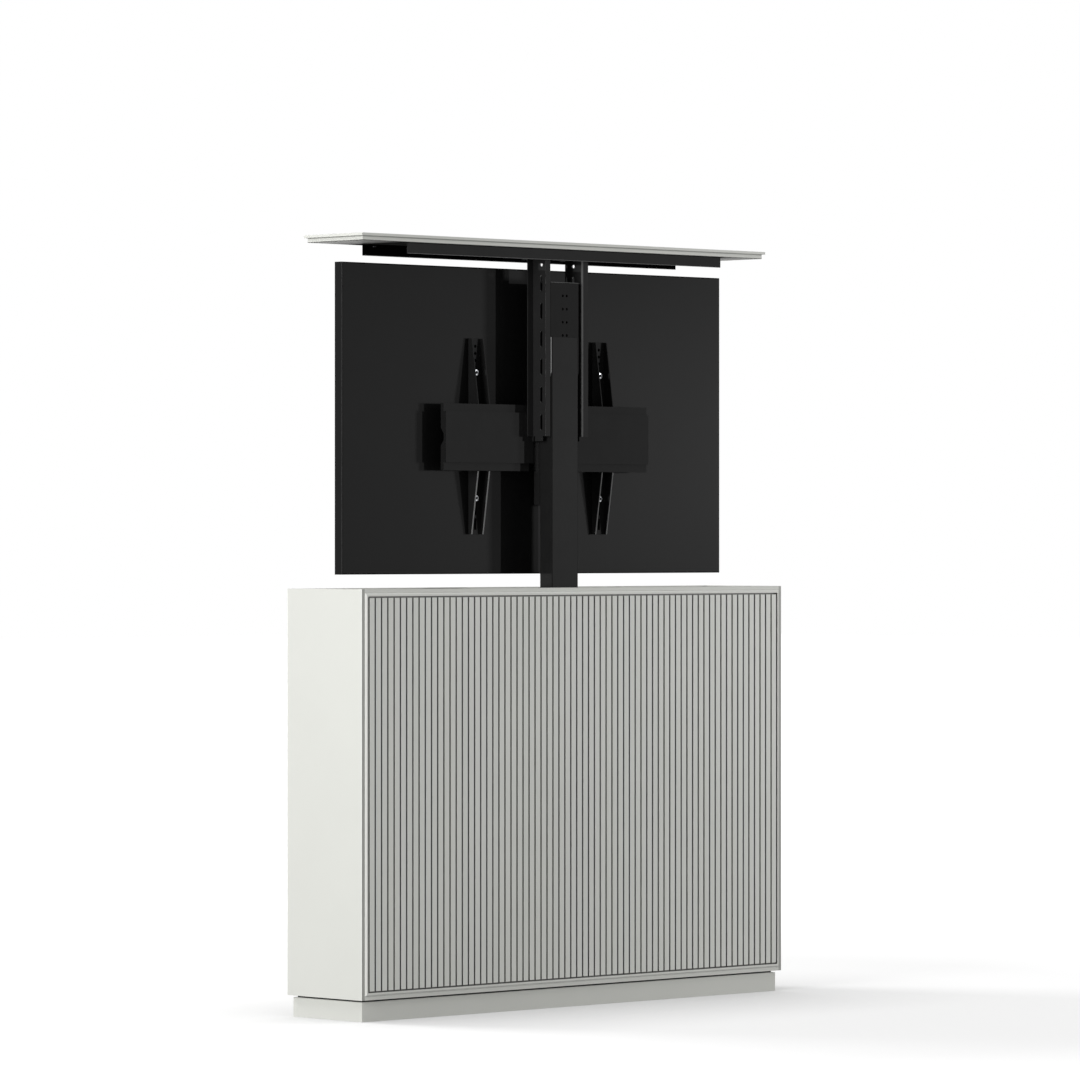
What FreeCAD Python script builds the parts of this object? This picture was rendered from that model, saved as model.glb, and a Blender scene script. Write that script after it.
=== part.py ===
import FreeCAD, Part
import math
import os

from FreeCAD import Vector

# Free-standing TV lift cabinet, shown raised. Millimetres, +Z up.
# The origin is the middle of the footprint on the floor. +X runs along the cabinet's width,
# the screen looks along +Y, and the lift column stands on the -Y side of the television.
# Every moving piece is drawn at the top of its travel.

X_AXIS = Vector(1, 0, 0)
Y_AXIS = Vector(0, 1, 0)
Z_AXIS = Vector(0, 0, 1)

# Cabinet
cabinet_width = 1356.0
cabinet_depth = 246.0
cabinet_height = 960.0
wall = 24.0
bottom_thickness = 22.0
plinth_height = 44.0
plinth_inset = 10.0
plinth_board = 16.0
shadow_gap = 4.5
gap_strip_inset = 7.0
gap_strip_width = 30.0
batten = 18.0
batten_top_gap = 34.0

# Fluted panels, let into a pocket in both long faces
panel_rim = 8.5
panel_proud = 3.5
panel_thickness = 12.0
panel_chamfer = 3.5
frame_face = 4.0
slat_count = 69
groove_width = 5.0
groove_depth = 7.0
slat_end_gap = 3.5
panel_clearance = 0.2

# Lid
lid_clearance = 2.5
lid_top_thickness = 6.0
lid_core_thickness = 10.5
lid_core_inset = 6.0

# Lid bars and the straps that carry them
bar_length = 1011.5
bar_leg = 25.0
bar_sheet = 3.0
bar_edge_radius = 1.2
near_bar_gap = 10.2
far_bar_gap = 37.8
strap_width = 26.0
strap_drop = 16.0
lid_screw_radius = 2.5
lid_screw_head = 4.5
lid_screw_count = 3

# Telescopic column: three rectangular tubes, the widest one outside and on top
column_wall_gap = 20.1
outer_width = 84.0
outer_depth = 40.0
outer_wall = 2.5
mid_width = 59.0
mid_depth = 31.0
mid_wall = 2.0
inner_width = 35.0
inner_depth = 23.0
inner_wall = 2.0
outer_corner = 1.5
mid_corner = 2.5
inner_corner = 2.5
least_bore_corner = 0.5
corner_clearance = 0.5
stage_gap = 8.0
cap_thickness = 5.0
glide_height = 22.0
glide_clearance = 0.3

# Drive
base_width = 250.0
base_depth = 76.0
base_thickness = 5.0
base_screw_inset = 16.0
base_screw_radius = 4.0
gear_width = 96.0
gear_depth = 52.0
gear_height = 50.0
gear_corner = 5.0
motor_radius = 23.0
motor_length = 118.0
motor_cap_step = 3.0
motor_cap_length = 8.0
spindle_radius = 5.5
spindle_seat = 18.0
spindle_collar = 3.0
spindle_collar_height = 4.0
push_radius = 8.5
push_bore = 6.3
nut_height = 26.0
nut_width = 24.0
nut_corner = 3.0
running_clearance = 0.3
shaft_clearance = 0.1

# Belts that pull the outer tube up at twice the speed of the middle one
pulley_radius = 7.7
pulley_teeth = 12
tooth_depth = 0.9
pulley_width = 11.0
pulley_bore = 2.5
pulley_end = 20.0
belt_thickness = 1.6
belt_width = 9.0
yoke_sheet = 2.0
yoke_inset = 1.5
yoke_gap = 0.8
yoke_height = 22.0
belt_slot = 19.0
clamp_height = 16.0
clamp_width = 12.0

# Crossbar, a folded tray with a raised middle
crossbar_height = 152.0
crossbar_length = 656.0
crossbar_depth = 15.8
crossbar_sheet = 3.0
crossbar_bend = 1.0
crossbar_border = 18.0
crossbar_step = 6.5
notch_depth = 9.4
notch_height = 41.5
notch_flat = 14.5
window_width = 112.0
window_side = 8.5
window_lap = 3.0

# Plates that join the crossbar to the column
seat_gap = 0.2
mount_thickness = 5.8
mount_width = 123.0
mount_neck_width = 80.0
mount_head_width = 89.0
mount_ear_height = 11.5
mount_foot = 77.0
mount_foot_depth = 18.7
mount_foot_sheet = 4.0
mount_screw_radius = 3.0
mount_screw_rise = 11.0
mount_screw_pitch = 30.0
doubler_width = 220.0
doubler_margin = 3.0

# Lid posts, two Z profiles turned half a circle from each other
post_web = 60.5
post_depth = 44.0
post_sheet = 3.0
post_out_flange = 19.5
post_in_flange = 15.0
post_bottom_rise = 4.0
post_in_bend = 1.0
post_out_bend = 4.0
post_tongue_height = 11.0
post_tongue_width = 22.8
post_tongue_setback = 12.0
slot_count = 6
slot_from_top = 27.3
slot_height = 38.0
slot_width = 7.0
slot_from_edge = 14.6
slot_from_bottom = 13.0
post_hole_radius = 4.5
post_hole_drop = 29.0

# Head bracket on top of the column
bracket_drop = 68.5
bracket_height = 126.5
bracket_sheet = 3.0
bracket_setback = 1.3
bracket_leg = 79.0
bracket_slant = 55.0
bracket_leg_depth = 36.0
bracket_gap = 0.3
bracket_tie_gap = 1.0
bracket_bend = 1.0
bracket_hole_radius = 2.0
bracket_hole_spacing = 13.0
bracket_hole_pitch = 30.3
bracket_hole_rows = 4
bracket_hole_foot = 4.5
bracket_screw_radius = 3.0
bracket_screw_head = 5.5
bracket_screw_drop = 28.0

# Television and its two arms. With the crossbar it hangs a little to one side of the column.
tv_x = -7.6
tv_width = 1221.0
tv_height = 700.5
tv_rim_gap = 31.4
tv_lid_gap = 18.6
tv_standoff = 23.0
tv_cover_depth = 18.0
tv_bezel_depth = 6.5
tv_bezel_width = 9.0
tv_screen_recess = 0.5
tv_screen_gap = 0.3
tv_edge_radius = 3.0
vesa_spacing = 400.0
vesa_height = 287.0
vesa_drop = 33.65
arm_drop = 2.5
crossbar_drop = 5.0
arm_width = 38.0
arm_length = 447.0
arm_sheet = 2.5
arm_end_depth = 10.7
arm_hook_depth = 32.0
arm_hook_gap = 1.0
arm_screw_radius = 4.0
arm_screw_head = 8.0
arm_screw_head_height = 5.0
arm_screw_chamfer = 1.6
arm_screw_depth = 12.0
arm_hole_radius = 2.7
arm_hole_count = 4
arm_hole_pitch = 16.2
arm_hole_first = 11.3
arm_hole_drop = 15.3
arm_slot_length = 26.0
arm_slot_width = 5.0
arm_slot_gap = 8.0
hole_clearance = 0.3

# Control box, cable grommet and feet
control_side_gap = 109.0
control_wall_gap = 3.0
control_length = 150.0
control_depth = 92.0
control_height = 42.0
control_radius = 4.0
socket_width = 27.0
socket_height = 20.0
socket_depth = 14.0
socket_rim = 2.5
socket_pin = 2.0
grommet_from_control = 140.0
grommet_radius = 30.0
grommet_flange = 4.0
grommet_thickness = 3.0
grommet_wall = 2.5
foot_radius = 15.0
foot_height = 8.0
foot_stem = 4.0
foot_taper = 3.0
foot_inset = 62.0

# Heights and places that follow from the sizes above
carcass_z = plinth_height + shadow_gap
floor_z = carcass_z + bottom_thickness
half_width = cabinet_width / 2
half_depth = cabinet_depth / 2
inner_half_width = half_width - wall
inner_half_depth = half_depth - wall
tv_bottom = cabinet_height + tv_rim_gap
tv_top = tv_bottom + tv_height
lid_bottom_z = tv_top + tv_lid_gap + bar_leg
lid_seam_z = lid_bottom_z + lid_core_thickness
lid_top_z = lid_seam_z + lid_top_thickness
lift_travel = lid_top_z - cabinet_height
strap_top_z = lid_bottom_z - bar_sheet
post_top_z = strap_top_z - bar_sheet
near_bar_y = near_bar_gap - inner_half_depth
far_bar_y = inner_half_depth - far_bar_gap

column_y = column_wall_gap + outer_depth / 2 - inner_half_depth
column_back_y = column_y + outer_depth / 2
bracket_top_z = post_top_z - bracket_drop
column_top = bracket_top_z - bracket_height
bracket_y = column_y - outer_depth / 2 + bracket_setback
base_top_z = floor_z + base_thickness
gear_top_z = base_top_z + gear_height
outer_bottom_z = gear_top_z + stage_gap + lift_travel
mid_bottom_z = gear_top_z + stage_gap + lift_travel / 2
mid_top_z = column_top - cap_thickness - stage_gap / 2 - lift_travel / 2
inner_top_z = mid_top_z - lift_travel / 2 - cap_thickness - stage_gap / 2
nut_top_z = inner_top_z - stage_gap
upper_pulley_z = mid_top_z - pulley_end
lower_pulley_z = mid_bottom_z + pulley_end
clamp_reach = pulley_radius + clamp_height / 2 + 3 * running_clearance
outer_clamp_z = lower_pulley_z + lift_travel / 2 + clamp_reach
inner_clamp_z = upper_pulley_z - lift_travel / 2 - clamp_reach
pulley_x = mid_width / 2 - mid_wall / 2
belt_radius = pulley_radius + running_clearance
outer_run_x = pulley_x + belt_radius + belt_thickness / 2
inner_run_x = pulley_x - belt_radius - belt_thickness / 2

vesa_z = tv_bottom + tv_height / 2 - vesa_drop
arm_z = vesa_z - arm_drop
crossbar_z = vesa_z - crossbar_drop
crossbar_top_z = crossbar_z + crossbar_height / 2
crossbar_bottom_z = crossbar_z - crossbar_height / 2
web_half_height = crossbar_height / 2 - crossbar_border
mount_near_y = column_back_y + seat_gap
crossbar_web_y = mount_near_y + mount_thickness + seat_gap
crossbar_border_y = crossbar_web_y + crossbar_step
crossbar_back_y = crossbar_web_y + crossbar_depth
post_bottom = crossbar_z + post_bottom_rise
post_near_y = crossbar_web_y - post_depth
mount_ear_top_z = post_bottom - seat_gap
mount_ear_bottom_z = mount_ear_top_z - mount_ear_height
window_top_z = mount_ear_bottom_z + window_lap
tv_back_y = crossbar_back_y + tv_standoff
tv_front_y = tv_back_y + tv_cover_depth

control_x = control_side_gap + control_length / 2 - inner_half_width
control_y = control_wall_gap + control_depth / 2 - inner_half_depth
grommet_x = control_x + grommet_from_control


def block(x0, x1, y0, y1, z0, z1):
    """A box between two opposite corners; x and y may run either way."""
    corner = Vector(min(x0, x1), min(y0, y1), z0)
    return Part.makeBox(abs(x1 - x0), abs(y1 - y0), z1 - z0, corner)


def middle_block(width, depth, z0, z1, x=0.0, y=0.0):
    """A box centred on (x, y)."""
    return block(x - width / 2, x + width / 2, y - depth / 2, y + depth / 2, z0, z1)


def rod(radius, start, axis, length):
    return Part.makeCylinder(radius, length, start, axis)


def prism(points, travel):
    """A straight extrusion of a closed outline."""
    outline = Part.makePolygon(points + [points[0]])
    return Part.Face(outline).extrude(travel)


def group(solids):
    return Part.makeCompound(solids)


def save(name, shape):
    shape.exportStep("parts/" + name + ".step")


def vertical_edges(shape):
    """Edges that run straight up."""
    return [e for e in shape.Edges if abs(e.tangentAt(e.FirstParameter).z) > 0.999]


def upright_at(shape, x, y):
    """The upright edges over one point of the plan."""
    return [e for e in vertical_edges(shape)
            if abs(e.CenterOfMass.x - x) < 0.01 and abs(e.CenterOfMass.y - y) < 0.01]


def bore_corner(corner, thickness):
    """Inside corner radius of a drawn tube."""
    return max(corner - thickness, least_bore_corner)


def rectangular_tube(width, depth, thickness, corner, z0, z1):
    """A rounded rectangular tube about the column axis."""
    outside = middle_block(width, depth, z0, z1, y=column_y)
    outside = outside.makeFillet(corner, vertical_edges(outside))
    inside = middle_block(width - 2 * thickness, depth - 2 * thickness, z0, z1, y=column_y)
    inside = inside.makeFillet(bore_corner(corner, thickness), vertical_edges(inside))
    return outside.cut(inside)


# ---- Cabinet ---------------------------------------------------------------------------

def panel_pocket(side):
    """The space that a fluted panel is let into; side is -1 for the -Y face, +1 for +Y."""
    sunk = panel_thickness - panel_proud
    return block(-half_width + panel_rim, half_width - panel_rim,
                 side * half_depth, side * (half_depth - sunk),
                 carcass_z + panel_rim, cabinet_height - panel_rim)


def side_panel(side):
    """An end panel, rebated on both edges for the fluted panels."""
    panel = block(side * inner_half_width, side * half_width, -half_depth, half_depth,
                  carcass_z, cabinet_height)
    return panel.cut([panel_pocket(-1), panel_pocket(1)])


def long_board(side):
    """The structural board of a long face, between the two end panels."""
    board = block(-inner_half_width, inner_half_width,
                  side * inner_half_depth, side * half_depth, carcass_z, cabinet_height)
    return board.cut(panel_pocket(side))


def slat_boxes(x0, x1, z0, z1, y_ground, y_face):
    """The standing slats of a fluted field."""
    pitch = (x1 - x0 - groove_width) / slat_count
    slat_width = pitch - groove_width
    slats = []
    for index in range(slat_count):
        start = x0 + groove_width + index * pitch
        slats.append(block(start, start + slat_width, y_ground, y_face,
                           z0 + slat_end_gap, z1 - slat_end_gap))
    return slats


def fluted_panel():
    """The panel of the -Y face: a chamfered frame round a field of standing slats."""
    half = half_width - panel_rim - panel_clearance
    z0 = carcass_z + panel_rim + panel_clearance
    z1 = cabinet_height - panel_rim - panel_clearance
    y_back = panel_thickness - panel_proud - half_depth
    y_face = -half_depth - panel_proud
    sheet = block(-half, half, y_face, y_back, z0, z1)
    front_edges = [e for e in sheet.Edges if abs(e.CenterOfMass.y - y_face) < 0.01]
    sheet = sheet.makeChamfer(panel_chamfer, front_edges)
    border = panel_chamfer + frame_face
    field = block(-half + border, half - border, y_face, y_face + groove_depth,
                  z0 + border, z1 - border)
    slats = slat_boxes(-half + border, half - border, z0 + border, z1 - border,
                       y_face, y_face + groove_depth)
    return sheet.cut(field.cut(slats))


def bottom_panel():
    """The floor of the cabinet, with the hole for the cable grommet and the feet."""
    panel = block(-inner_half_width, inner_half_width, -inner_half_depth, inner_half_depth,
                  carcass_z, floor_z)
    bore = rod(grommet_radius + panel_clearance, Vector(grommet_x, 0, carcass_z),
               Z_AXIS, bottom_thickness)
    stems = [rod(foot_stem + panel_clearance, Vector(x, y, carcass_z), Z_AXIS,
                 bottom_thickness) for x, y in foot_places()]
    return panel.cut([bore] + stems)


def corner_battens():
    """Glued corner battens, short of the lid when it is down."""
    battens = []
    top = cabinet_height - batten_top_gap
    for x in (-inner_half_width, inner_half_width - batten):
        for y in (-inner_half_depth, inner_half_depth - batten):
            battens.append(block(x, x + batten, y, y + batten, floor_z, top))
    return group(battens)


def shadow_gap_frame():
    """The dark strip that holds the carcass off the plinth."""
    inset = plinth_inset + gap_strip_inset
    outside = middle_block(cabinet_width - 2 * inset, cabinet_depth - 2 * inset,
                           plinth_height, carcass_z)
    taken = inset + gap_strip_width
    inside = middle_block(cabinet_width - 2 * taken, cabinet_depth - 2 * taken,
                          plinth_height, carcass_z)
    return outside.cut(inside)


def plinth_long(side):
    half = half_width - plinth_inset
    y_out = side * (half_depth - plinth_inset)
    return block(-half, half, y_out, y_out - side * plinth_board, 0, plinth_height)


def plinth_ends():
    """The two short boards between the long ones."""
    half = half_depth - plinth_inset - plinth_board
    boards = []
    for side in (-1, 1):
        x_out = side * (half_width - plinth_inset)
        boards.append(block(x_out, x_out - side * plinth_board, -half, half,
                            0, plinth_height))
    return group(boards)


def foot_places():
    x = half_width - foot_inset
    y = half_depth - foot_inset
    return [(-x, -y), (-x, y), (x, -y), (x, y)]


def levelling_feet():
    """Screw feet under the floor panel: a pad, a lock nut and a stem."""
    feet = []
    for x, y in foot_places():
        pad = rod(foot_radius, Vector(x, y, 0), Z_AXIS, foot_height)
        rim = [e for e in pad.Edges if abs(e.CenterOfMass.z - foot_height) < 0.01]
        pad = pad.makeChamfer(foot_taper, rim)
        stem = rod(foot_stem, Vector(x, y, foot_height), Z_AXIS,
                   floor_z - bottom_thickness / 3 - foot_height)
        nut = hexagon(2 * foot_stem, foot_stem, Vector(x, y, carcass_z - foot_stem))
        feet.append(pad.fuse([stem, nut]))
    return group(feet)


def hexagon(radius, height, base):
    corners = []
    for index in range(6):
        angle = math.radians(60 * index)
        corners.append(base + Vector(radius * math.cos(angle), radius * math.sin(angle), 0))
    return prism(corners, Vector(0, 0, height))


def cable_grommet():
    """A round bush in the floor panel, for the cables."""
    centre = Vector(grommet_x, 0, carcass_z)
    sleeve = rod(grommet_radius, centre, Z_AXIS, bottom_thickness + grommet_thickness)
    collar = rod(grommet_radius + grommet_flange, Vector(grommet_x, 0, floor_z), Z_AXIS,
                 grommet_thickness)
    bore = rod(grommet_radius - grommet_wall, centre, Z_AXIS,
               bottom_thickness + grommet_thickness)
    return sleeve.fuse(collar).cut(bore)


def control_box():
    """The control unit on the cabinet floor, with a recess for its mains inlet."""
    x0 = control_x - control_length / 2
    shell = block(x0, x0 + control_length,
                  control_y - control_depth / 2, control_y + control_depth / 2,
                  floor_z, floor_z + control_height)
    shell = shell.makeFillet(control_radius, vertical_edges(shell))
    return shell.cut(socket_space(x0))


def socket_space(x0):
    middle_z = floor_z + control_height / 2
    return block(x0, x0 + socket_depth,
                 control_y - socket_width / 2, control_y + socket_width / 2,
                 middle_z - socket_height / 2, middle_z + socket_height / 2)


def inlet_socket():
    """The mains inlet in the end of the control unit, with its three pins."""
    x0 = control_x - control_length / 2
    margin = panel_clearance
    middle_z = floor_z + control_height / 2
    body_z0 = middle_z - socket_height / 2 + margin
    body_z1 = middle_z + socket_height / 2 - margin
    body = middle_block(socket_depth - margin, socket_width - 2 * margin, body_z0, body_z1,
                        x=x0 + (socket_depth + margin) / 2, y=control_y)
    rim = socket_rim
    well = middle_block(socket_depth - margin - rim, socket_width - 2 * rim,
                        middle_z - socket_height / 2 + rim, middle_z + socket_height / 2 - rim,
                        x=x0 + (socket_depth + margin - rim) / 2, y=control_y)
    pins = []
    pin_x = x0 + socket_depth / 2
    side_pin = socket_width / 2 - 2 * rim
    for y, z in ((-side_pin, -rim), (side_pin, -rim), (0.0, rim)):
        pins.append(middle_block(socket_depth - 2 * rim, socket_pin, middle_z + z - socket_pin,
                                 middle_z + z + socket_pin, x=pin_x, y=control_y + y))
    return body.cut(well).fuse(pins)


# ---- Fixed part of the lift ------------------------------------------------------------

def base_screw_places():
    x = base_width / 2 - base_screw_inset
    y = base_depth / 2 - base_screw_inset
    return [(sx * x, column_y + sy * y) for sx in (-1, 1) for sy in (-1, 1)]


def base_plate():
    plate = middle_block(base_width, base_depth, floor_z, base_top_z, y=column_y)
    plate = plate.makeFillet(base_screw_inset / 2, vertical_edges(plate))
    holes = [rod(base_screw_radius + hole_clearance, Vector(x, y, floor_z), Z_AXIS,
                 base_thickness) for x, y in base_screw_places()]
    return plate.cut(holes)


def base_screws():
    """Pan head screws that hold the base plate to the cabinet floor."""
    screws = []
    for x, y in base_screw_places():
        shank = rod(base_screw_radius, Vector(x, y, floor_z), Z_AXIS, base_thickness)
        head = rod(2 * base_screw_radius, Vector(x, y, base_top_z), Z_AXIS, base_screw_radius)
        screws.append(shank.fuse(head))
    return group(screws)


def gear_housing():
    """The gear case on the base plate; the spindle turns in its top."""
    case = middle_block(gear_width, gear_depth, base_top_z, gear_top_z, y=column_y)
    case = case.makeFillet(gear_corner, vertical_edges(case))
    seat = rod(spindle_radius + shaft_clearance,
               Vector(0, column_y, gear_top_z - spindle_seat), Z_AXIS, spindle_seat)
    return case.cut(seat)


def lift_motor():
    """The motor lying beside the gear case, with its end cap."""
    centre_z = base_top_z + gear_height / 2
    start = Vector(gear_width / 2, column_y, centre_z)
    can = rod(motor_radius, start, X_AXIS, motor_length)
    cap = rod(motor_radius - motor_cap_step, start + Vector(motor_length, 0, 0), X_AXIS,
              motor_cap_length)
    return can.fuse(cap)


def inner_column():
    return rectangular_tube(inner_width, inner_depth, inner_wall, inner_corner,
                            gear_top_z, inner_top_z)


def glide_ring(outside, inside, corner, z0):
    """A plastic guide between two tubes, open at both ends for the belts."""
    ring = middle_block(outside[0], outside[1], z0, z0 + glide_height, y=column_y)
    hole = middle_block(inside[0], inside[1], z0, z0 + glide_height, y=column_y)
    slot = middle_block(outside[0], belt_slot, z0, z0 + glide_height, y=column_y)
    ring = ring.makeFillet(corner, vertical_edges(ring))
    return ring.cut([hole, slot])


def inner_glides():
    """Guides on the head of the inner tube; they slide in the middle tube."""
    outside = (mid_width - 2 * mid_wall - 2 * glide_clearance,
               mid_depth - 2 * mid_wall - 2 * glide_clearance)
    corner = bore_corner(mid_corner, mid_wall) + corner_clearance
    return glide_ring(outside, (inner_width, inner_depth), corner, inner_top_z - glide_height)


def belt_clamps(run_x, wall_x, z):
    """A block on each side wall of a tube, slit for the belt run that it grips."""
    lip = belt_thickness / 2 + running_clearance
    jaw_x = run_x + math.copysign(2 * lip, run_x - wall_x)
    clamps = []
    for side in (-1, 1):
        grip = block(side * wall_x, side * jaw_x,
                     column_y - clamp_width / 2, column_y + clamp_width / 2,
                     z - clamp_height / 2, z + clamp_height / 2)
        slit = middle_block(2 * lip, belt_width + 2 * running_clearance,
                            z - clamp_height / 2, z + clamp_height / 2,
                            x=side * run_x, y=column_y)
        clamps.append(grip.cut(slit))
    return group(clamps)


def spindle():
    """The lifting screw: a journal in the gear case and a plain core up the inner tube."""
    start = gear_top_z - spindle_seat + shaft_clearance
    length = nut_top_z - start
    core = rod(spindle_radius, Vector(0, column_y, start), Z_AXIS, length)
    collar = rod(spindle_radius + spindle_collar,
                 Vector(0, column_y, gear_top_z + running_clearance), Z_AXIS,
                 spindle_collar_height)
    return core.fuse(collar)


# ---- Middle stage ----------------------------------------------------------------------

def pulley_windows(height):
    """Openings in both side walls of the middle tube, as wide as the cheek plates."""
    width = pulley_width + 2 * yoke_gap + 2 * yoke_sheet
    return [middle_block(mid_wall * 3, width, height - yoke_height / 2,
                         height + yoke_height / 2, x=side * pulley_x, y=column_y)
            for side in (-1, 1)]


def mid_column():
    tube = rectangular_tube(mid_width, mid_depth, mid_wall, mid_corner,
                            mid_bottom_z, mid_top_z)
    return tube.cut(pulley_windows(upper_pulley_z) + pulley_windows(lower_pulley_z))


def push_tube():
    """The tube over the spindle, with the plate that caps the middle tube."""
    plate = middle_block(mid_width - 2 * mid_wall, mid_depth - 2 * mid_wall,
                         mid_top_z - cap_thickness, mid_top_z, y=column_y)
    corner = bore_corner(mid_corner, mid_wall) + corner_clearance
    plate = plate.makeFillet(corner, vertical_edges(plate))
    centre = Vector(0, column_y, nut_top_z)
    length = mid_top_z - cap_thickness - nut_top_z
    tube = rod(push_radius, centre, Z_AXIS, length)
    bore = rod(push_bore, centre, Z_AXIS, length)
    return tube.cut(bore).fuse(plate)


def spindle_nut():
    """The nut under the push tube, cut flat to pass down the inner tube."""
    z0 = nut_top_z - nut_height
    depth = inner_depth - 2 * inner_wall - 4 * running_clearance
    body = middle_block(nut_width, depth, z0, nut_top_z, y=column_y)
    body = body.makeFillet(nut_corner, vertical_edges(body))
    bore = rod(spindle_radius + running_clearance, Vector(0, column_y, z0), Z_AXIS, nut_height)
    return body.cut(bore)


def mid_glides():
    """Guides round the head of the middle tube and inside its foot."""
    head_outside = (outer_width - 2 * outer_wall - 2 * glide_clearance,
                    outer_depth - 2 * outer_wall - 2 * glide_clearance)
    head_corner = bore_corner(outer_corner, outer_wall) + corner_clearance
    head = glide_ring(head_outside, (mid_width, mid_depth), head_corner,
                      upper_pulley_z - yoke_height / 2 - yoke_sheet - glide_height)
    foot_outside = (mid_width - 2 * mid_wall, mid_depth - 2 * mid_wall)
    foot_inside = (inner_width + 2 * glide_clearance, inner_depth + 2 * glide_clearance)
    foot_corner = bore_corner(mid_corner, mid_wall) + corner_clearance
    foot = glide_ring(foot_outside, foot_inside, foot_corner,
                      lower_pulley_z + yoke_height / 2 + yoke_sheet)
    return group([head, foot])


def belt_loop(side):
    """One belt: two straight runs and a half circle over each pulley."""
    def loop(radius):
        straight = middle_block(2 * radius, belt_width, lower_pulley_z, upper_pulley_z,
                                x=side * pulley_x, y=column_y)
        start = column_y - belt_width / 2
        ends = [rod(radius, Vector(side * pulley_x, start, z), Y_AXIS, belt_width)
                for z in (lower_pulley_z, upper_pulley_z)]
        return straight.fuse(ends)
    return loop(belt_radius + belt_thickness).cut(loop(belt_radius))


def drive_belts():
    return group([belt_loop(side).removeSplitter() for side in (-1, 1)])


def pulley_yokes():
    """Cheek plates in the windows of the middle tube; they hold the pulley pins."""
    cheeks = []
    offset = pulley_width / 2 + yoke_gap
    half_reach = pulley_radius - yoke_inset
    for z in (lower_pulley_z, upper_pulley_z):
        for side in (-1, 1):
            for y0 in (column_y - offset - yoke_sheet, column_y + offset):
                cheek = block(side * pulley_x - half_reach, side * pulley_x + half_reach,
                              y0, y0 + yoke_sheet, z - yoke_height / 2, z + yoke_height / 2)
                pin = rod(pulley_bore, Vector(side * pulley_x, y0, z), Y_AXIS, yoke_sheet)
                cheeks.append(cheek.cut(pin))
    return group(cheeks)


def pulley_pins():
    """The four pulley axles, riveted in the cheek plates."""
    length = pulley_width + 2 * yoke_gap + 2 * yoke_sheet
    pins = []
    for z in (lower_pulley_z, upper_pulley_z):
        for side in (-1, 1):
            pins.append(rod(pulley_bore, Vector(side * pulley_x, column_y - length / 2, z),
                            Y_AXIS, length))
    return group(pins)


def pulley(side, z):
    """A toothed pulley with a flange on each face, free to turn on its pin."""
    centre = Vector(side * pulley_x, column_y - pulley_width / 2, z)
    flange = (pulley_width - belt_width) / 2 - running_clearance
    wheel = rod(pulley_radius, centre, Y_AXIS, pulley_width)
    gaps = []
    for index in range(pulley_teeth):
        angle = 2 * math.pi * index / pulley_teeth
        reach = pulley_radius - tooth_depth / 2
        middle = Vector(centre.x + reach * math.cos(angle), centre.y + flange,
                        z + reach * math.sin(angle))
        gap = Part.makeBox(2 * tooth_depth, pulley_width - 2 * flange, 2 * tooth_depth,
                           middle - Vector(tooth_depth, 0, tooth_depth))
        gap.rotate(middle, Y_AXIS, -math.degrees(angle))
        gaps.append(gap)
    bore = rod(pulley_bore + shaft_clearance, centre, Y_AXIS, pulley_width)
    return wheel.cut(gaps + [bore])


# ---- Outer tube and what it carries ----------------------------------------------------

def side_screw_places():
    """Heights of the screws that hold the head bracket to the column."""
    return (column_top - bracket_screw_drop, column_top - 2 * bracket_screw_drop)


def outer_column():
    """The visible tube, drilled for the head bracket and the mounting plate."""
    tube = rectangular_tube(outer_width, outer_depth, outer_wall, outer_corner,
                            outer_bottom_z, column_top)
    holes = []
    for z in side_screw_places():
        holes.append(rod(bracket_screw_radius + hole_clearance,
                         Vector(-outer_width / 2, column_y, z), X_AXIS, outer_width))
    for x, z in mount_screw_places():
        holes.append(rod(mount_screw_radius + hole_clearance,
                         Vector(x, column_back_y - outer_wall * 2, z), Y_AXIS,
                         outer_wall * 3))
    return tube.cut(holes)


def column_cap():
    """The plug in the head of the outer tube."""
    width = outer_width - 2 * outer_wall
    depth = outer_depth - 2 * outer_wall
    plug = middle_block(width, depth, column_top - cap_thickness, column_top, y=column_y)
    corner = bore_corner(outer_corner, outer_wall) + corner_clearance
    return plug.makeFillet(corner, vertical_edges(plug))


def outer_glides():
    """Guides in the foot of the outer tube, round the middle one."""
    outside = (outer_width - 2 * outer_wall, outer_depth - 2 * outer_wall)
    inside = (mid_width + 2 * glide_clearance, mid_depth + 2 * glide_clearance)
    corner = bore_corner(outer_corner, outer_wall) + corner_clearance
    return glide_ring(outside, inside, corner, outer_bottom_z)


def bracket_leg_outline(x):
    """Side leg of the head bracket beside the column, with its slanted foot."""
    top = column_top + bracket_gap
    foot = column_top - bracket_leg
    near = bracket_y
    far = bracket_y + bracket_leg_depth
    return [Vector(x, near, top), Vector(x, near, foot),
            Vector(x, near + bracket_leg_depth / 2, foot - bracket_slant),
            Vector(x, far, foot - bracket_slant), Vector(x, far, top)]


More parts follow.
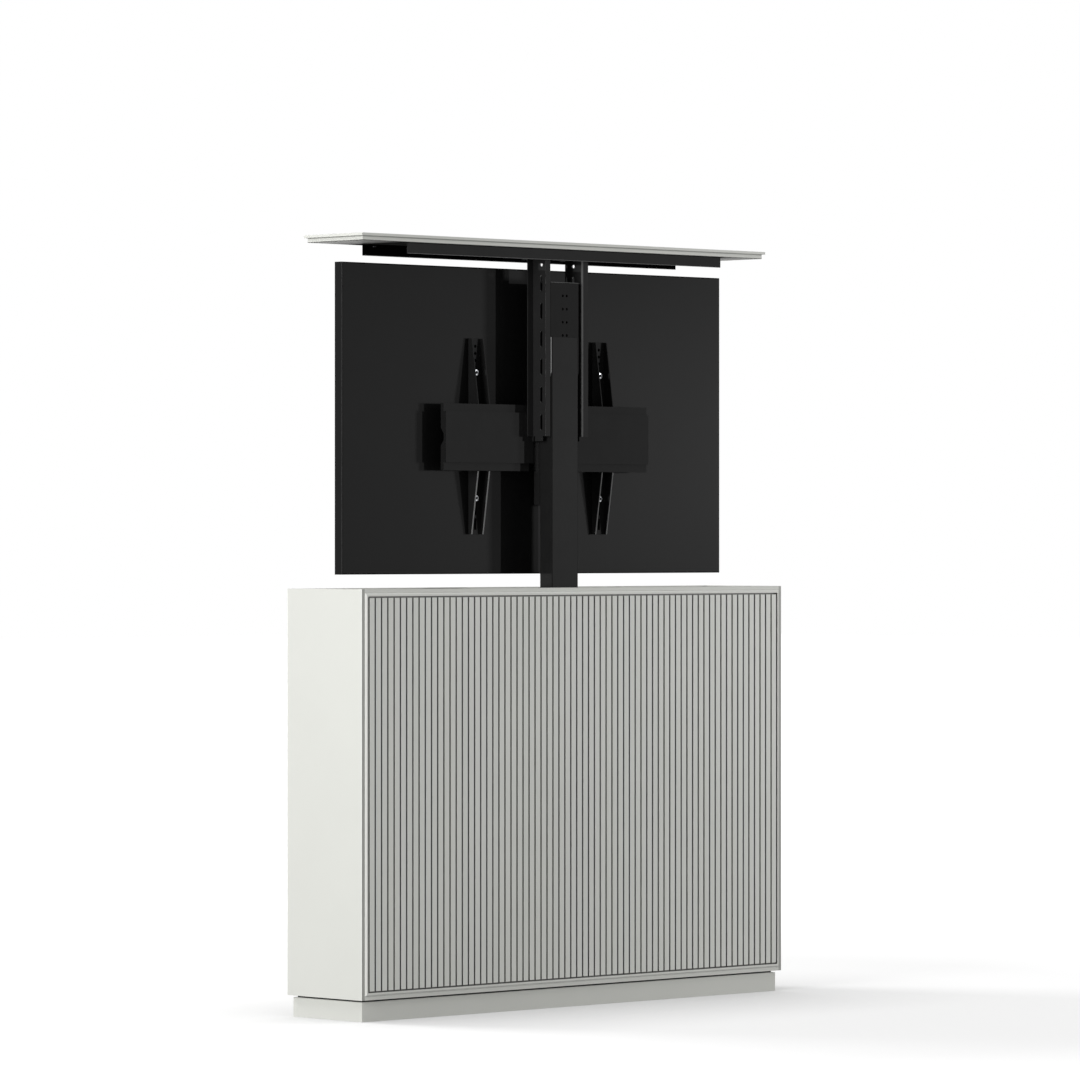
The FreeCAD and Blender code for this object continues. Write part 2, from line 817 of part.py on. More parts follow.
def head_bracket():
    """The folded bracket over the column: a drilled plate, two legs and a top tie."""
    inside = outer_width / 2 + bracket_gap
    outside = inside + bracket_sheet
    top = column_top + bracket_height
    plate = block(-outside, outside, bracket_y, bracket_y + bracket_leg_depth,
                  column_top + bracket_gap, top)
    bends = [e for e in plate.Edges if abs(e.CenterOfMass.y - bracket_y) < 0.01
             and e.CenterOfMass.z > column_top + 1]
    plate = plate.makeFillet(bracket_bend, bends)
    hollow = block(-inside, inside, bracket_y + bracket_sheet,
                   bracket_y + bracket_leg_depth, column_top + bracket_gap,
                   top - bracket_sheet)
    plate = plate.cut(hollow)
    legs = [prism(bracket_leg_outline(x), Vector(bracket_sheet, 0, 0))
            for x in (-outside, inside)]
    post_inside = post_web - post_sheet
    ear_y = post_near_y + post_sheet + bracket_tie_gap
    ears = block(-post_inside, post_inside, ear_y, bracket_y + bracket_leg_depth,
                 top - bracket_sheet, top)
    holes = []
    for row in range(bracket_hole_rows):
        z = column_top + bracket_hole_foot + row * bracket_hole_pitch
        for side in (-1, 1):
            holes.append(rod(bracket_hole_radius,
                             Vector(side * bracket_hole_spacing / 2, bracket_y, z),
                             Y_AXIS, bracket_sheet))
    for z in side_screw_places():
        holes.append(rod(bracket_screw_radius + hole_clearance,
                         Vector(-outside, column_y, z), X_AXIS, 2 * outside))
    return plate.fuse(legs + [ears]).removeSplitter().cut(holes)


def bracket_screws():
    """Button head screws through the bracket's legs into the column."""
    screws = []
    face = outer_width / 2 + bracket_gap + bracket_sheet
    length = face - outer_width / 2 + outer_wall
    for z in side_screw_places():
        for side in (-1, 1):
            start = side * face
            shank = rod(bracket_screw_radius, Vector(start, column_y, z),
                        Vector(-side, 0, 0), length)
            head = rod(bracket_screw_head, Vector(start, column_y, z), Vector(side, 0, 0),
                       bracket_screw_radius)
            screws.append(shank.fuse(head))
    return group(screws)


def post_slots(x0, x1, y):
    """Round-ended slots through a post's web, and one round hole above them."""
    cuts = []
    radius = slot_width / 2
    pitch = (post_top_z - slot_from_top - post_bottom - slot_from_bottom) / slot_count
    for index in range(slot_count):
        z0 = post_bottom + slot_from_bottom + index * pitch
        z1 = z0 + slot_height
        middle = block(x0, x1, y - radius, y + radius, z0 + radius, z1 - radius)
        ends = [rod(radius, Vector(x0, y, z), X_AXIS, x1 - x0)
                for z in (z0 + radius, z1 - radius)]
        cuts.append(middle.fuse(ends))
    cuts.append(rod(post_hole_radius, Vector(x0, y, post_top_z - post_hole_drop), X_AXIS,
                    x1 - x0))
    return cuts


def left_post():
    """The -X lid post: near flange turned inwards, far flange turned outwards, and a
    tongue at the foot of the web."""
    x_out = -post_web
    x_in = x_out + post_sheet
    far_y = crossbar_web_y
    web = block(x_out, x_in, post_near_y, far_y, post_bottom, post_top_z)
    near = block(x_out, x_out + post_in_flange, post_near_y, post_near_y + post_sheet,
                 post_bottom, post_top_z)
    far = block(x_in - post_out_flange, x_in, far_y - post_sheet, far_y,
                post_bottom, post_top_z)
    profile = web.fuse([near, far]).removeSplitter()
    profile = profile.makeFillet(post_in_bend, upright_at(profile, x_out, post_near_y))
    profile = profile.makeFillet(post_out_bend, upright_at(profile, x_in, far_y))
    tongue_y = post_near_y + post_tongue_setback
    tongue = block(x_out, x_in, tongue_y, tongue_y + post_tongue_width,
                   post_bottom - post_tongue_height, post_bottom)
    profile = profile.fuse(tongue).removeSplitter()
    return profile.cut(post_slots(x_out - 1, x_in + 1, post_near_y + slot_from_edge))


def right_post():
    """The same profile turned half a circle about the upright axis between the posts."""
    middle_y = (post_near_y + crossbar_web_y) / 2
    post = left_post()
    post.rotate(Vector(0, middle_y, 0), Z_AXIS, 180)
    return post


def strap_outline(side):
    """Cross section of a lid strap in X and Z: an angle beside the post."""
    x_face = side * post_web
    x_far = x_face + side * strap_width
    return [Vector(x_face - side * post_sheet, 0, strap_top_z),
            Vector(x_far, 0, strap_top_z),
            Vector(x_far, 0, post_top_z),
            Vector(x_face + side * bar_sheet, 0, post_top_z),
            Vector(x_face + side * bar_sheet, 0, post_top_z - strap_drop),
            Vector(x_face, 0, post_top_z - strap_drop),
            Vector(x_face, 0, post_top_z),
            Vector(x_face - side * post_sheet, 0, post_top_z)]


def lid_straps():
    """Angle straps across the post heads, from one lid bar to the other."""
    y0 = near_bar_y + bar_sheet
    y1 = far_bar_y - bar_sheet
    straps = []
    for side in (-1, 1):
        outline = [point + Vector(0, y0, 0) for point in strap_outline(side)]
        strap = prism(outline, Vector(0, y1 - y0, 0))
        gaps = [block(side * post_web - post_out_flange, side * post_web + post_out_flange,
                      y - seat_gap, y + post_sheet + seat_gap,
                      post_top_z - strap_drop, post_top_z)
                for y in (crossbar_web_y - post_sheet, post_near_y)]
        straps.append(strap.cut(gaps))
    return group(straps)


def lid_bar(y_face, inwards):
    """A long angle bar under the lid, its upright leg at y_face."""
    y_leg = y_face + inwards * bar_sheet
    y_flange = y_face + inwards * bar_leg
    half = bar_length / 2
    leg = block(-half, half, y_face, y_leg, lid_bottom_z - bar_leg, lid_bottom_z)
    rounded = [e for e in leg.Edges if abs(e.CenterOfMass.z - lid_bottom_z + bar_leg) < 0.01
               and abs(e.CenterOfMass.x) < 0.01]
    leg = leg.makeFillet(bar_edge_radius, rounded)
    flange = block(-half, half, y_face, y_flange, strap_top_z, lid_bottom_z)
    holes = [rod(lid_screw_radius + hole_clearance, Vector(x, y, strap_top_z), Z_AXIS,
                 bar_sheet) for x, y in lid_screw_places()]
    return leg.fuse(flange).removeSplitter().cut(holes)


def lid_screw_places():
    """Screws from both bars into the lid."""
    places = []
    pitch = (bar_length - 2 * bar_leg) / (lid_screw_count - 1)
    for index in range(lid_screw_count):
        x = -bar_length / 2 + bar_leg + index * pitch
        places.append((x, near_bar_y + bar_leg / 2))
        places.append((x, far_bar_y - bar_leg / 2))
    return places


def lid_screws():
    screws = []
    for x, y in lid_screw_places():
        shank = rod(lid_screw_radius, Vector(x, y, strap_top_z), Z_AXIS,
                    bar_sheet + lid_core_thickness / 2)
        head = rod(lid_screw_head, Vector(x, y, strap_top_z - lid_screw_radius), Z_AXIS,
                   lid_screw_radius)
        screws.append(shank.fuse(head))
    return group(screws)


def lid_layer(inset, z0, z1):
    width = 2 * (inner_half_width - lid_clearance - inset)
    depth = 2 * (inner_half_depth - lid_clearance - inset)
    return middle_block(width, depth, z0, z1)


def lid_core():
    """The lower layer of the lid, drilled for the bar screws."""
    core = lid_layer(lid_core_inset, lid_bottom_z, lid_seam_z)
    depth = lid_core_thickness / 2 + hole_clearance
    holes = [rod(lid_screw_radius + hole_clearance / 2, Vector(x, y, lid_bottom_z), Z_AXIS,
                 depth) for x, y in lid_screw_places()]
    return core.cut(holes)


def lid_top():
    return lid_layer(0.0, lid_seam_z, lid_top_z)


# ---- Crossbar --------------------------------------------------------------------------

def tray(half, border_y, web_y, half_height, web_half):
    """A block with a raised middle as long as itself, open towards +Y."""
    border = block(tv_x - half, tv_x + half, border_y, crossbar_back_y,
                   crossbar_z - half_height, crossbar_z + half_height)
    raised = block(tv_x - half, tv_x + half, web_y, border_y + 1,
                   crossbar_z - web_half, crossbar_z + web_half)
    return border.fuse(raised).removeSplitter()


def crossbar_body():
    """Outside of the tray, with its end bends."""
    half = crossbar_length / 2
    body = tray(half, crossbar_border_y, crossbar_web_y, crossbar_height / 2, web_half_height)
    bends = (upright_at(body, tv_x - half, crossbar_web_y)
             + upright_at(body, tv_x + half, crossbar_web_y))
    return body.makeFillet(crossbar_bend, bends)


def crossbar_hollow():
    """Inside of the tray, open towards the television."""
    sheet = crossbar_sheet
    return tray(crossbar_length / 2 - sheet, crossbar_border_y + sheet, crossbar_web_y + sheet,
                crossbar_height / 2 - sheet, web_half_height - sheet)


def crossbar_notches():
    """Half octagons for cables in the free edges of both end flanges."""
    x = tv_x - crossbar_length / 2
    near = crossbar_back_y - notch_depth
    past = crossbar_back_y + 1
    outline = [Vector(x, past, crossbar_z + notch_height / 2),
               Vector(x, crossbar_back_y, crossbar_z + notch_height / 2),
               Vector(x, near, crossbar_z + notch_flat / 2),
               Vector(x, near, crossbar_z - notch_flat / 2),
               Vector(x, crossbar_back_y, crossbar_z - notch_height / 2),
               Vector(x, past, crossbar_z - notch_height / 2)]
    return prism(outline, Vector(crossbar_length, 0, 0))


def crossbar():
    """The tray, with the window and the foot opening behind the column."""
    window = block(-window_width / 2, window_width / 2, crossbar_web_y, crossbar_back_y,
                   crossbar_z - web_half_height, window_top_z)
    foot_width = window_width + 2 * window_side
    foot = block(-foot_width / 2, foot_width / 2, crossbar_web_y, crossbar_back_y,
                 crossbar_bottom_z, crossbar_z - web_half_height)
    holes = mount_screw_holes(crossbar_web_y, crossbar_web_y + crossbar_sheet)
    return crossbar_body().cut([crossbar_hollow(), crossbar_notches(), window, foot] + holes)


def mount_screw_places():
    """Screws through the doubler, the tray and the mounting plate into the column."""
    low = mount_ear_top_z + mount_screw_rise
    return [(side * outer_width / 4, z)
            for side in (-1, 1) for z in (low, low + mount_screw_pitch)]


def mount_screw_holes(y0, y1):
    return [rod(mount_screw_radius + hole_clearance, Vector(x, y0, z), Y_AXIS, y1 - y0)
            for x, z in mount_screw_places()]


def mount_plate():
    """The thick plate on the column's back. The posts stand on its ears, and below the
    crossbar it ends in a channel as wide as the column."""
    foot_z = crossbar_bottom_z - mount_foot
    head_z = crossbar_z + web_half_height - panel_clearance
    y = mount_near_y + mount_thickness / 2
    steps = [(outer_width, foot_z, crossbar_bottom_z),
             (mount_neck_width, crossbar_bottom_z, mount_ear_bottom_z),
             (mount_width, mount_ear_bottom_z, mount_ear_top_z),
             (mount_head_width, mount_ear_top_z, head_z)]
    foot, neck, ears, head = [middle_block(width, mount_thickness, z0, z1, y=y)
                              for width, z0, z1 in steps]
    sides = [block(side * outer_width / 2, side * (outer_width / 2 - mount_foot_sheet),
                   mount_near_y, mount_near_y + mount_foot_depth, foot_z, crossbar_bottom_z)
             for side in (-1, 1)]
    plate = foot.fuse([neck, ears, head] + sides).removeSplitter()
    return plate.cut(mount_screw_holes(mount_near_y, mount_near_y + mount_thickness))


def doubler_plate():
    """The plate inside the tray that stiffens it where the screws pass."""
    y0 = crossbar_web_y + crossbar_sheet
    plate = block(-doubler_width / 2, doubler_width / 2, y0, y0 + crossbar_sheet,
                  window_top_z + doubler_margin,
                  crossbar_z + web_half_height - crossbar_sheet - doubler_margin)
    return plate.cut(mount_screw_holes(y0, y0 + crossbar_sheet))


def mount_screws():
    """Screws from inside the tray into the column's back wall."""
    head_y = crossbar_web_y + 2 * crossbar_sheet
    length = head_y - column_back_y + outer_wall
    screws = []
    for x, z in mount_screw_places():
        shank = rod(mount_screw_radius, Vector(x, head_y, z), Vector(0, -1, 0), length)
        head = rod(2 * mount_screw_radius, Vector(x, head_y, z), Y_AXIS, mount_screw_radius)
        screws.append(shank.fuse(head))
    return group(screws)


# ---- Television ------------------------------------------------------------------------

def arm_flange_outline(x):
    """Side flange of an arm: it hooks over the crossbar and tapers to both ends."""
    top = arm_z + arm_length / 2
    bottom = arm_z - arm_length / 2
    rest = crossbar_back_y + hole_clearance
    return [Vector(x, tv_back_y, top),
            Vector(x, tv_back_y - arm_end_depth, top),
            Vector(x, tv_back_y - arm_hook_depth, crossbar_top_z),
            Vector(x, rest, crossbar_top_z),
            Vector(x, rest, crossbar_bottom_z - arm_hook_gap),
            Vector(x, tv_back_y - arm_hook_depth, crossbar_bottom_z - arm_hook_gap),
            Vector(x, tv_back_y - arm_end_depth, bottom),
            Vector(x, tv_back_y, bottom)]


def arm_holes(x):
    """The round holes, slots and screw holes in the web of one arm."""
    y0 = tv_back_y - arm_sheet
    cuts = []
    upper = vesa_z + vesa_height / 2
    lower = vesa_z - vesa_height / 2
    for z in (upper, lower):
        cuts.append(rod(arm_screw_radius + hole_clearance, Vector(x, y0, z), Y_AXIS,
                        arm_sheet))
    heights = [upper + arm_hole_first + index * arm_hole_pitch
               for index in range(arm_hole_count)]
    for z in [upper - arm_hole_drop] + heights:
        cuts.append(rod(arm_hole_radius, Vector(x, y0, z), Y_AXIS, arm_sheet))
    for index in range(2):
        z1 = lower - 1.5 * arm_screw_head - index * (arm_slot_length + arm_slot_gap)
        cuts.append(block(x - arm_slot_width / 2, x + arm_slot_width / 2, y0, tv_back_y,
                          z1 - arm_slot_length, z1))
    return cuts


def vesa_arm(side):
    """One upright arm: a channel screwed to the television and hung on the crossbar."""
    x = tv_x + side * vesa_spacing / 2
    half = arm_width / 2
    web = block(x - half, x + half, tv_back_y - arm_sheet, tv_back_y,
                arm_z - arm_length / 2, arm_z + arm_length / 2)
    flanges = [prism(arm_flange_outline(x0), Vector(arm_sheet, 0, 0))
               for x0 in (x - half, x + half - arm_sheet)]
    return web.fuse(flanges).removeSplitter().cut(arm_holes(x))


def arm_screw_places():
    return [(tv_x + side * vesa_spacing / 2, vesa_z + step * vesa_height / 2)
            for side in (-1, 1) for step in (-1, 1)]


def arm_screws():
    """Pan head screws through the arms into the television."""
    face = tv_back_y - arm_sheet
    screws = []
    for x, z in arm_screw_places():
        shank = rod(arm_screw_radius, Vector(x, face, z), Y_AXIS,
                    arm_sheet + arm_screw_depth)
        head = rod(arm_screw_head, Vector(x, face - arm_screw_head_height, z), Y_AXIS,
                   arm_screw_head_height)
        rim = [e for e in head.Edges if abs(e.CenterOfMass.y - face
                                            + arm_screw_head_height) < 0.01]
        head = head.makeChamfer(arm_screw_chamfer, rim)
        screws.append(shank.fuse(head))
    return group(screws)


def tv_slab(inset, y0, y1):
    """A slab of the television's outline, drawn in by an inset on all four sides."""
    half = tv_width / 2 - inset
    return block(tv_x - half, tv_x + half, y0, y1, tv_bottom + inset, tv_top - inset)


def tv_back_cover():
    """The closed rear housing, with rounded sides and threaded holes for the arms."""
    cover = tv_slab(0.0, tv_back_y, tv_front_y)
    rounded = [e for e in cover.Edges if abs(e.CenterOfMass.y - tv_back_y) < 0.01]
    cover = cover.makeFillet(tv_edge_radius, rounded)
    holes = [rod(arm_screw_radius + hole_clearance, Vector(x, tv_back_y, z), Y_AXIS,
                 arm_screw_depth + hole_clearance) for x, z in arm_screw_places()]
    return cover.cut(holes)


def tv_bezel():
    """The frame round the screen."""
    y1 = tv_front_y + tv_bezel_depth
    return tv_slab(0.0, tv_front_y, y1).cut(tv_slab(tv_bezel_width, tv_front_y, y1))


def tv_screen():
    """The display panel, just behind the front of the bezel."""
    return tv_slab(tv_bezel_width + tv_screen_gap, tv_front_y,
                   tv_front_y + tv_bezel_depth - tv_screen_recess)


def export_cabinet():
    save("side_panel_left", side_panel(-1))
    save("side_panel_right", side_panel(1))
    save("back_board", long_board(-1))
    save("front_board", long_board(1))
    fluted = fluted_panel()
    save("fluted_panel_back", fluted)
    front = fluted.copy()
    front.rotate(Vector(0, 0, 0), Z_AXIS, 180)
    save("fluted_panel_front", front)
    save("bottom_panel", bottom_panel())
    save("corner_battens", corner_battens())
    save("shadow_gap_frame", shadow_gap_frame())
    save("plinth_back", plinth_long(-1))
    save("plinth_front", plinth_long(1))
    save("plinth_ends", plinth_ends())
    save("levelling_feet", levelling_feet())
    save("cable_grommet", cable_grommet())
    save("control_box", control_box())
    save("inlet_socket", inlet_socket())


def export_drive():
    save("base_plate", base_plate())
    save("base_screws", base_screws())
    save("gear_housing", gear_housing())
    save("lift_motor", lift_motor())
    save("inner_column", inner_column())
    save("inner_glides", inner_glides())
    save("inner_belt_clamps", belt_clamps(inner_run_x, inner_width / 2, inner_clamp_z))
    save("spindle", spindle())
    save("mid_column", mid_column())
    save("push_tube", push_tube())
    save("spindle_nut", spindle_nut())
    save("mid_glides", mid_glides())
    save("drive_belts", drive_belts())
    save("pulley_yokes", pulley_yokes())
    save("pulley_pins", pulley_pins())
    for level, z in (("upper", upper_pulley_z), ("lower", lower_pulley_z)):
        for name, side in (("left", -1), ("right", 1)):
            save("pulley_" + level + "_" + name, pulley(side, z))


def export_carriage():
    save("outer_column", outer_column())
    save("outer_glides", outer_glides())
    save("outer_belt_clamps",
         belt_clamps(outer_run_x, outer_width / 2 - outer_wall, outer_clamp_z))
    save("column_cap", column_cap())
    save("head_bracket", head_bracket())
    save("bracket_screws", bracket_screws())
    save("lid_post_left", left_post())
    save("lid_post_right", right_post())
    save("lid_straps", lid_straps())
    save("lid_bar_back", lid_bar(near_bar_y, 1))
    save("lid_bar_front", lid_bar(far_bar_y, -1))
    save("lid_screws", lid_screws())
    save("lid_core", lid_core())
    save("lid_top", lid_top())
    save("crossbar", crossbar())
    save("mount_plate", mount_plate())
    save("doubler_plate", doubler_plate())
    save("mount_screws", mount_screws())
    save("vesa_arm_left", vesa_arm(-1))
    save("vesa_arm_right", vesa_arm(1))
    save("arm_screws", arm_screws())
    save("tv_back_cover", tv_back_cover())
    save("tv_bezel", tv_bezel())
    save("tv_screen", tv_screen())


os.makedirs("parts", exist_ok=True)
export_cabinet()
export_drive()
export_carriage()
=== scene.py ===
import math

import bpy
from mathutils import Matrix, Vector


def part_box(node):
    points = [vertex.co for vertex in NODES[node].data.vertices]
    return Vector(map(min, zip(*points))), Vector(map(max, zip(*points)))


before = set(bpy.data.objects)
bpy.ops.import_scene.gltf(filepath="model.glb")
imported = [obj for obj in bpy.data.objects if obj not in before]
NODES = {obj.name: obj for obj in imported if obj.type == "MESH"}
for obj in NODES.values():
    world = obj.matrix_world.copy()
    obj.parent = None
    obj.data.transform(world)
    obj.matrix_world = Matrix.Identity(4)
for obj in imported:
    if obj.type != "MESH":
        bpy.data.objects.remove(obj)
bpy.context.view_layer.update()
scene = bpy.context.scene


# ---- Colours and shader nodes ----------------------------------------------------------

def linear(level):
    """sRGB level 0..255 to linear light."""
    value = level / 255.0
    return value / 12.92 if value <= 0.04045 else ((value + 0.055) / 1.055) ** 2.4


def colour(red, green, blue):
    """A colour of three sRGB levels, as the shaders take it."""
    return (linear(red), linear(green), linear(blue), 1.0)


def grey(level):
    return colour(level, level, level)


def node(tree, kind, **inputs):
    """Adds a shader node; inputs are socket names with underscores for spaces."""
    made = tree.nodes.new(kind)
    for name, value in inputs.items():
        made.inputs[name.replace("_", " ")].default_value = value
    return made


def new_material(name):
    material = bpy.data.materials.new(name)
    material.use_nodes = True
    return material, material.node_tree


def shader_of(tree):
    return tree.nodes["Principled BSDF"]


def combine(tree, operation, first, second=None, third=None):
    """One math node; each operand is a socket or a number."""
    made = tree.nodes.new("ShaderNodeMath")
    made.operation = operation
    for slot, value in enumerate((first, second, third)):
        if isinstance(value, (int, float)):
            made.inputs[slot].default_value = value
        elif value is not None:
            tree.links.new(value, made.inputs[slot])
    return made.outputs[0]


# ---- Masks: sockets that are 1 on part of a surface and 0 elsewhere ---------------------

def above(tree, value, limit):
    return combine(tree, "GREATER_THAN", value, limit)


def below(tree, value, limit):
    return combine(tree, "LESS_THAN", value, limit)


def between(tree, value, low, high):
    return combine(tree, "COMPARE", value, (low + high) / 2, (high - low) / 2)


def all_of(tree, *masks):
    """1 where every mask is 1; with plain values, their product."""
    total = masks[0]
    for mask in masks[1:]:
        total = combine(tree, "MULTIPLY", total, mask)
    return total


def any_of(tree, masks):
    """1 where at least one mask is 1."""
    total = 0.0
    for mask in masks:
        total = combine(tree, "MAXIMUM", total, mask)
    return total


def distance_from(tree, value, middle):
    """How far a value is from a middle, on either side of it."""
    return combine(tree, "ABSOLUTE", combine(tree, "SUBTRACT", value, middle))


def in_circle(tree, across, up, centre, radius):
    """1 inside a circle in the plane of two coordinates."""
    off_across = combine(tree, "SUBTRACT", across, centre[0])
    off_up = combine(tree, "SUBTRACT", up, centre[1])
    total = combine(tree, "ADD", combine(tree, "MULTIPLY", off_across, off_across),
                    combine(tree, "MULTIPLY", off_up, off_up))
    return below(tree, total, radius ** 2)


def place_and_normal(tree):
    """Sockets of the resting piece's x, y, z and of its true normal's x, y, z."""
    place = tree.nodes.new("ShaderNodeSeparateXYZ")
    tree.links.new(tree.nodes.new("ShaderNodeTexCoord").outputs["Object"], place.inputs[0])
    turn = tree.nodes.new("ShaderNodeSeparateXYZ")
    tree.links.new(tree.nodes.new("ShaderNodeNewGeometry").outputs["True Normal"],
                   turn.inputs[0])
    return list(place.outputs) + list(turn.outputs)


def weaken(material, socket, mask):
    """Takes one of the shader's values away where the mask is 1."""
    tree = material.node_tree
    target = shader_of(tree).inputs[socket]
    value = target.links[0].from_socket if target.links else target.default_value
    kept = combine(tree, "SUBTRACT", 1.0, mask)
    tree.links.new(combine(tree, "MULTIPLY", value, kept), target)


def repaint(material, mask, tint):
    """Shows another colour, without the coat, where the mask is 1."""
    tree = material.node_tree
    base = shader_of(tree).inputs["Base Color"]
    mix = node(tree, "ShaderNodeMixRGB", Color2=tint)
    tree.links.new(mask, mix.inputs["Fac"])
    tree.links.new(base.links[0].from_socket, mix.inputs["Color1"])
    tree.links.new(mix.outputs["Color"], base)
    weaken(material, "Coat Weight", mask)


# ---- Materials -------------------------------------------------------------------------

NOISE_ROUGHNESS = 0.55
PATCH_DETAIL = 4.0
GRAIN_DETAIL = 2.0
PATCH_START = 0.3
PATCH_END = 0.7
GRAIN_DEPTH = 0.001
EDGE_SAMPLES = 4
COAT_PATCHES = 3


def noise(tree, coordinates, scale, detail, stretch):
    """The value of a noise pattern, its scale multiplied along the three axes."""
    mapping = node(tree, "ShaderNodeMapping", Scale=stretch)
    tree.links.new(coordinates, mapping.inputs["Vector"])
    pattern = node(tree, "ShaderNodeTexNoise", Scale=scale, Detail=detail,
                   Roughness=NOISE_ROUGHNESS)
    tree.links.new(mapping.outputs["Vector"], pattern.inputs["Vector"])
    return pattern.outputs["Fac"]


def colour_between(tree, value, low, high):
    """Runs from one colour to the other over the middle of a noise's values."""
    ramp = tree.nodes.new("ShaderNodeValToRGB")
    for end, position, tint in zip(ramp.color_ramp.elements, (PATCH_START, PATCH_END),
                                   (low, high)):
        end.position = position
        end.color = tint
    tree.links.new(value, ramp.inputs["Fac"])
    return ramp.outputs["Color"]


def finish(name, low, high, patch=5.0, rough=(0.4, 0.5), grain=700.0, bump=0.02, edge=0.0005,
           metallic=0.0, specular=0.5, coat=0.0, coat_rough=0.05, stretch=(1, 1, 1)):
    """A painted, moulded or drawn surface: colour patches, fine grain and soft edges."""
    material, tree = new_material(name)
    shader = shader_of(tree)
    coordinates = tree.nodes.new("ShaderNodeTexCoord").outputs["Object"]
    patches = noise(tree, coordinates, patch, PATCH_DETAIL, stretch)
    tree.links.new(colour_between(tree, patches, low, high), shader.inputs["Base Color"])
    fine = noise(tree, coordinates, grain, GRAIN_DETAIL, stretch)
    spread = node(tree, "ShaderNodeMapRange", To_Min=rough[0], To_Max=rough[1])
    tree.links.new(fine, spread.inputs["Value"])
    tree.links.new(spread.outputs["Result"], shader.inputs["Roughness"])
    bevel = node(tree, "ShaderNodeBevel", Radius=edge)
    bevel.samples = EDGE_SAMPLES
    relief = node(tree, "ShaderNodeBump", Strength=bump, Distance=GRAIN_DEPTH)
    tree.links.new(fine, relief.inputs["Height"])
    tree.links.new(bevel.outputs["Normal"], relief.inputs["Normal"])
    tree.links.new(relief.outputs["Normal"], shader.inputs["Normal"])
    shader.inputs["Metallic"].default_value = metallic
    shader.inputs["Specular IOR Level"].default_value = specular
    shader.inputs["Coat Weight"].default_value = coat
    shader.inputs["Coat Roughness"].default_value = coat_rough
    return material


def lacquer(name, low, high, rough=(0.42, 0.52), edge=0.0008):
    """The cabinet's satin paint."""
    return finish(name, low, high, patch=3.0, rough=rough, bump=0.05, edge=edge,
                  specular=0.2)


def black_coat(name, level, edge=0.0004, coat=0.25, coat_rough=0.03):
    """Black coated steel; only its clear coat shines."""
    return finish(name, grey(level), grey(level + COAT_PATCHES), patch=20.0,
                  rough=(0.40, 0.46), grain=1800.0, bump=0.004, edge=edge, specular=0.0,
                  coat=coat, coat_rough=coat_rough)


def zinc_plate(name):
    return finish(name, colour(206, 208, 212), colour(226, 228, 231), patch=120.0,
                  rough=(0.16, 0.26), edge=0.0004, metallic=1.0)


paint = lacquer("lacquer", colour(226, 227, 221), colour(229, 230, 224))
# The same lacquer on the fluted panels, painted a few levels lighter: painted light on their
# faces.
lit_flute_paint = lacquer("flute_lacquer_lit", colour(233, 234, 228), colour(237, 238, 232),
                      edge=0.0007)
lid_paint = lacquer("lid_lacquer", colour(226, 227, 221), colour(229, 230, 224),
                    rough=(0.40, 0.50))
raw_board = finish("raw_board", colour(176, 146, 108), colour(196, 166, 126), patch=60.0,
                   rough=(0.7, 0.85), bump=0.25, edge=0.0004)
gap_black = finish("gap_black", colour(38, 38, 37), colour(46, 46, 45), rough=(0.6, 0.7))
black_steel = black_coat("black_gloss_coat", 31)
arm_steel = black_coat("black_arm_coat", 29)
post_steel = black_coat("black_post_coat", 41, coat=0.22)
column_steel = black_coat("black_tube", 33, edge=0.0002, coat_rough=0.1)
bracket_steel = black_coat("matt_black_steel", 37, edge=0.0003, coat=0.14, coat_rough=0.06)
drawn_steel = finish("drawn_steel", colour(150, 150, 152), colour(172, 172, 174), patch=14.0,
                     rough=(0.26, 0.36), grain=500.0, edge=0.0004, metallic=1.0,
                     stretch=(6, 6, 0.3))
screw_zinc = zinc_plate("screw_zinc")
zinc = zinc_plate("bright_zinc")
black_oxide = finish("black_oxide", colour(34, 34, 36), colour(46, 46, 48), patch=120.0,
                     rough=(0.3, 0.4), edge=0.0003, metallic=0.8)
tv_plastic = finish("tv_plastic", grey(16), grey(18), patch=8.0, rough=(0.37, 0.40),
                    grain=1500.0, bump=0.003, edge=0.0008, specular=0.018, coat=0.17,
                    coat_rough=0.02)
screen_glass = finish("screen_glass", colour(8, 8, 9), colour(11, 11, 12), patch=4.0,
                      rough=(0.05, 0.08), grain=900.0, bump=0.0, edge=0.0003)
black_plastic = finish("black_plastic", colour(30, 30, 31), colour(38, 38, 39), patch=40.0,
                       rough=(0.45, 0.6), grain=2400.0, bump=0.15, edge=0.0008)
glide_plastic = finish("natural_plastic", colour(214, 212, 202), colour(224, 222, 214),
                       patch=60.0, rough=(0.4, 0.5), edge=0.0004)
belt_rubber = finish("belt_rubber", grey(24), grey(32), patch=200.0, rough=(0.6, 0.75),
                     edge=0.0002)
alloy = finish("turned_alloy", colour(186, 187, 190), colour(204, 205, 208), patch=160.0,
               rough=(0.28, 0.38), edge=0.0003, metallic=1.0, stretch=(1, 8, 1))
brass = finish("turned_brass", colour(206, 168, 94), colour(222, 188, 116), patch=120.0,
               rough=(0.24, 0.34), edge=0.0003, metallic=1.0)


# ---- Painted highlights and shade on the materials: edges, holes, grooves, joints -------

# A normal's part along an axis: of a face square to it, and the least of a bend.
SQUARE = 0.9
LEANING = 0.1

ARM_LOW, ARM_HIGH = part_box("vesa_arm_left")
OTHER_ARM_LOW, OTHER_ARM_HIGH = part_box("vesa_arm_right")
CROSSBAR_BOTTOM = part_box("crossbar")[0][2]
COLUMN_LOW, COLUMN_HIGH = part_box("outer_column")
SCREWS_LOW, SCREWS_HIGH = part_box("arm_screws")

UNLIT = grey(3)

ARM_END_DEPTH = 0.0107
ARM_SHEET = 0.0025
# Width and colour of the painted highlight on the arms' lower edges.
HIGHLIGHT_WIDTH = 0.0014
ARM_EDGE_HIGHLIGHT = grey(132)
BEHIND_ARMS = grey(2)


